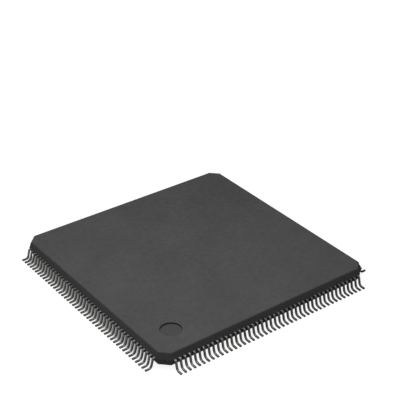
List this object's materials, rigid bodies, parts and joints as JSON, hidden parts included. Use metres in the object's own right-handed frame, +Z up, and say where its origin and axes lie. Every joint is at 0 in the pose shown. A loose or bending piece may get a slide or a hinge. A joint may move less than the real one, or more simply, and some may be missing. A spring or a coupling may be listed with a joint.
{
  "type": "quad flat pack chip",
  "caption": "Low-profile quad flat pack: a square black moulded body with cut corners, a pin 1 dimple and fine gull-wing leads on all four sides.",
  "frame": {"origin": "on the seating plane under the feet, below the middle of the body", "axes": "+Z up through the top face, -Y towards the side with leads 1 to 44, -X towards the side with leads 133 to 176; the pin 1 dimple is at the -X, -Y corner"},
  "size_m": [0.026, 0.026, 0.0017],
  "materials": {
    "moulding_compound": "matte, fine spark-eroded grain",
    "tin_plate": "satin tin plating over copper alloy",
    "copper_alloy": "bare stamped copper alloy",
    "polyimide_film": "smooth amber film",
    "silver_adhesive": "cured silver-filled paste",
    "silicon": "polished silicon",
    "gold_wire": "bright drawn gold"
  },
  "bodies": {
    "root": {"moulded_body": "moulding_compound", "leads_1_to_44": "tin_plate", "leads_45_to_88": "tin_plate", "leads_89_to_132": "tin_plate", "leads_133_to_176": "tin_plate", "die_pad": "copper_alloy", "lead_lock_tape": "polyimide_film", "die_attach": "silver_adhesive", "die": "silicon", "wires_1_to_44": "gold_wire", "wires_45_to_88": "gold_wire", "wires_89_to_132": "gold_wire", "wires_133_to_176": "gold_wire"}
  },
  "joints": []
}
